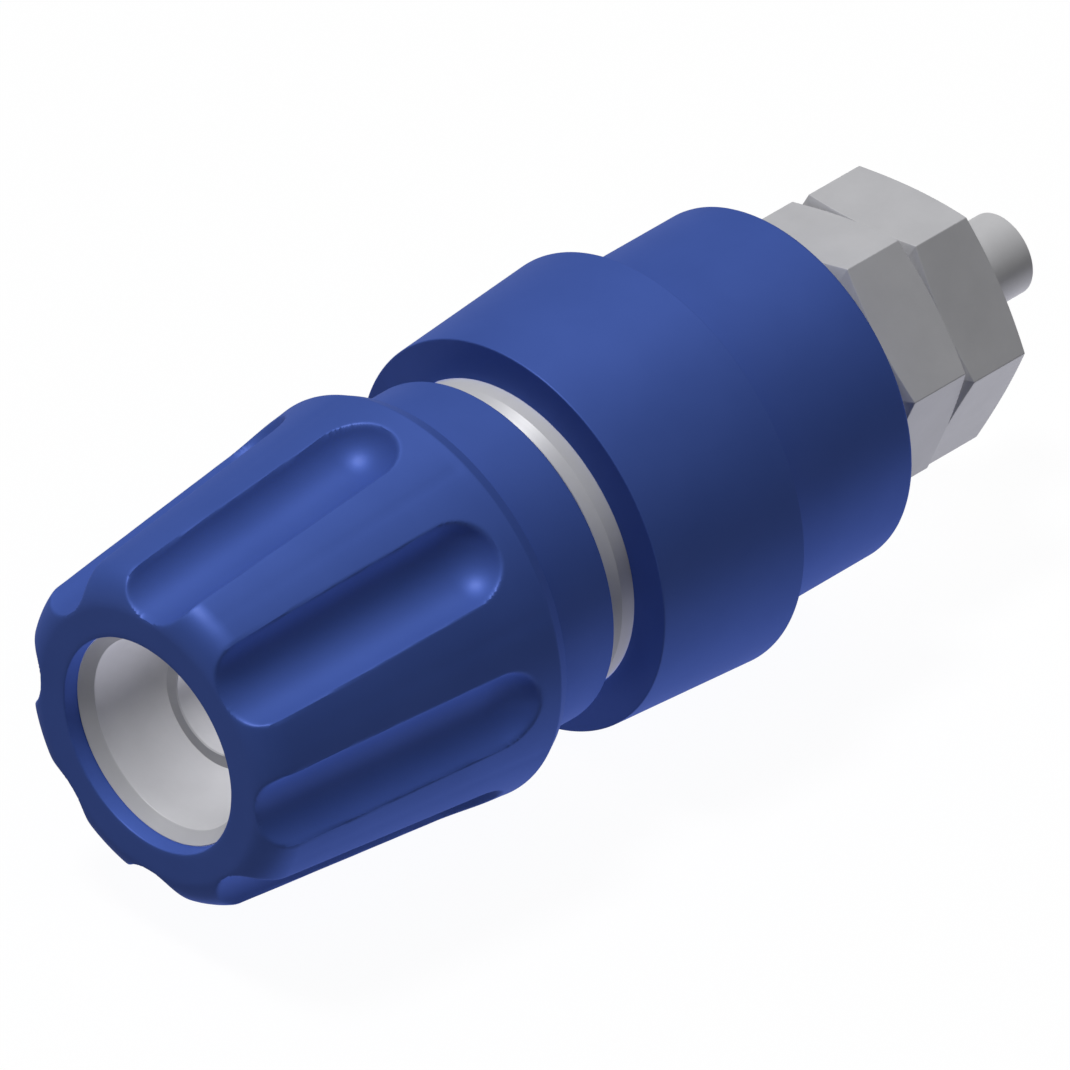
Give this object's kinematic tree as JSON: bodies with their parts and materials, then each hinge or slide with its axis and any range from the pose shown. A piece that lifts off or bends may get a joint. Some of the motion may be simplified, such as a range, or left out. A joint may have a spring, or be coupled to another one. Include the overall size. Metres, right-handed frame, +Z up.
{
  "type": "binding post",
  "caption": "Insulated screw-down binding post for a panel: fluted blue knob with a sleeved plug opening, inner socket, flanged stud, two-part bush and thin nuts.",
  "frame": {"origin": "on the post's axis, in the plane of the ring on the front body that bears on the front of the panel", "axes": "+Y along the post's axis from the knob to the solder pin, which is into the panel; +Z up when the panel stands upright; -Y is the side that the knob and the plug are on"},
  "size_m": [0.0174, 0.0462, 0.0174],
  "materials": {
    "blue_plastic": "moulded, satin",
    "nickel_brass": "turned brass, nickel plated",
    "nickel_nut": "brass, nickel plated",
    "spring_steel": "zinc plated"
  },
  "bodies": {
    "post": {"contact_tube": "nickel_brass", "flanged_stud": "nickel_brass", "front_body": "blue_plastic", "rear_bush": "blue_plastic", "spring_washer": "spring_steel", "mounting_nut": "nickel_nut", "terminal_nut": "nickel_nut"},
    "pressure_washer": {"clamp_washer": "nickel_brass"},
    "knob": {"knob_shell": "blue_plastic", "knob_insert": "nickel_brass", "retaining_ring": "spring_steel"}
  },
  "joints": [
    {"name": "knob_travel", "type": "slide", "parent": "post", "child": "pressure_washer", "axis": [0, -1, 0], "range_m": [-0.00056, 0.00405]},
    {"name": "knob_turn", "type": "hinge", "parent": "pressure_washer", "child": "knob", "pos_m": [0, 0, 0], "axis": [0, -1, 0], "range_deg": [-198, 1440]}
  ],
  "couplings": [
    {"joint": "knob_travel", "follows": "knob_turn", "m_per_rad": 0.00015915}
  ]
}
